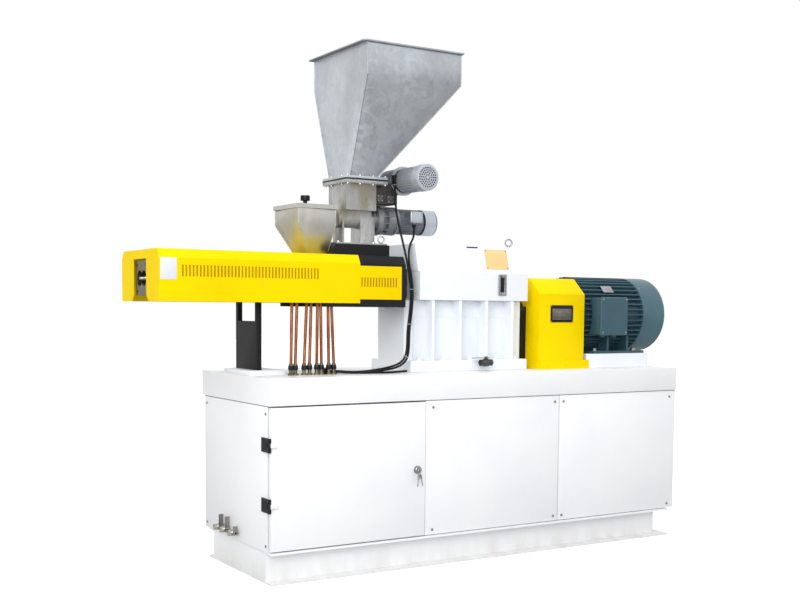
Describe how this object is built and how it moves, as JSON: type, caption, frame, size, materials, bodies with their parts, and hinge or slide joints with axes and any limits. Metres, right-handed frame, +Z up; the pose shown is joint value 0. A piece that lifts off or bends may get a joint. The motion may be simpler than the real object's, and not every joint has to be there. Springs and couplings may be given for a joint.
{
  "type": "twin-screw plastic extruder",
  "caption": "Twin-screw plastic extruder on a steel cabinet base: covered barrel with die face, feeder with hoppers, reduction gearbox, coupling guard and main motor.",
  "frame": {"origin": "on the floor, under the middle of the cabinet base", "axes": "+X from the die end to the motor, +Y to the back of the machine, +Z up; the door and the valves' levers are on the -Y side and the left end"},
  "size_m": [2.56, 0.682, 2.113],
  "materials": {
    "white_powder_coat": "semi-gloss white powder coat",
    "white_enamel": "white machine enamel on castings",
    "yellow_powder_coat": "signal yellow powder coat",
    "black_enamel": "black enamel",
    "motor_enamel": "dark green-blue enamel on cast iron",
    "galvanised_sheet": "mottled galvanised sheet",
    "stainless_plate": "brushed steel plate",
    "machined_steel": "machined steel",
    "cast_aluminium": "die-cast aluminium, bare",
    "copper_tube": "copper tube, slightly dulled",
    "brass_body": "nickelled brass valve body",
    "zinc_fitting": "zinc-plated fittings with dark nuts",
    "cable_sheath": "matt black sheath"
  },
  "bodies": {
    "root": {"agitator_gearbox": "cast_aluminium", "agitator_motor": "cast_aluminium", "ball_valves": "brass_body", "barrel": "machined_steel", "barrel_cover": "yellow_powder_coat", "barrel_support": "black_enamel", "barrel_support_foot": "white_enamel", "base_frame": "white_powder_coat", "cabinet_frame": "white_powder_coat", "cabinet_panels": "white_powder_coat", "cable_agitator": "cable_sheath", "cable_feeder": "cable_sheath", "cable_spare": "cable_sheath", "cooling_pipes": "copper_tube", "coupling_guard": "yellow_powder_coat", "coupling_housing": "black_enamel", "deck": "white_powder_coat", "deck_fittings": "zinc_fitting", "door_hinges": "black_enamel", "feed_housing": "black_enamel", "feed_vent_panel": "yellow_powder_coat", "feeder_box": "stainless_plate", "feeder_gearbox": "cast_aluminium", "feeder_motor": "cast_aluminium", "feeder_seat": "black_enamel", "feeder_stand": "stainless_plate", "front_panels": "white_powder_coat", "gearbox_lower_case": "white_enamel", "gearbox_middle_case": "white_enamel", "gearbox_top_case": "white_enamel", "main_hopper": "galvanised_sheet", "main_motor": "motor_enamel", "motor_base": "white_enamel", "motor_fan_cowl": "motor_enamel", "motor_terminal_box": "motor_enamel", "side_hopper": "stainless_plate", "side_hopper_lid": "stainless_plate"},
    "front_door": {"front_door": "white_powder_coat", "door_fittings": "black_enamel"},
    "water_lever_back": {"water_valve_lever_back": "machined_steel"},
    "water_lever_middle": {"water_valve_lever_middle": "machined_steel"},
    "water_lever_front": {"water_valve_lever_front": "machined_steel"},
    "drain_lever": {"oil_drain_lever": "black_enamel"},
    "screw_front": {"screw_front": "machined_steel"},
    "screw_back": {"screw_back": "machined_steel"}
  },
  "joints": [
    {"name": "door_hinge", "type": "hinge", "parent": "root", "child": "front_door", "pos_m": [-1.052, -0.324, 0.4], "axis": [0, 0, -1], "range_deg": [0, 110]},
    {"name": "water_valve_back", "type": "hinge", "parent": "root", "child": "water_lever_back", "pos_m": [-1.068, 0.123, 0.16], "axis": [0, -1, 0], "range_deg": [0, 90]},
    {"name": "water_valve_middle", "type": "hinge", "parent": "root", "child": "water_lever_middle", "pos_m": [-1.068, 0.06, 0.16], "axis": [0, -1, 0], "range_deg": [0, 90]},
    {"name": "water_valve_front", "type": "hinge", "parent": "root", "child": "water_lever_front", "pos_m": [-1.068, -0.021, 0.16], "axis": [0, -1, 0], "range_deg": [0, 90]},
    {"name": "oil_drain_valve", "type": "hinge", "parent": "root", "child": "drain_lever", "pos_m": [0.038, -0.192, 0.847], "axis": [0, 0, 1], "range_deg": [0, 90]},
    {"name": "screw_front_spin", "type": "hinge", "parent": "root", "child": "screw_front", "pos_m": [-1, -0.0235, 1.164], "axis": [1, 0, 0], "continuous": true},
    {"name": "screw_back_spin", "type": "hinge", "parent": "root", "child": "screw_back", "pos_m": [-1, 0.0235, 1.164], "axis": [1, 0, 0], "continuous": true}
  ],
  "couplings": [
    {"joint": "screw_back_spin", "follows": "screw_front_spin", "ratio": 1}
  ]
}
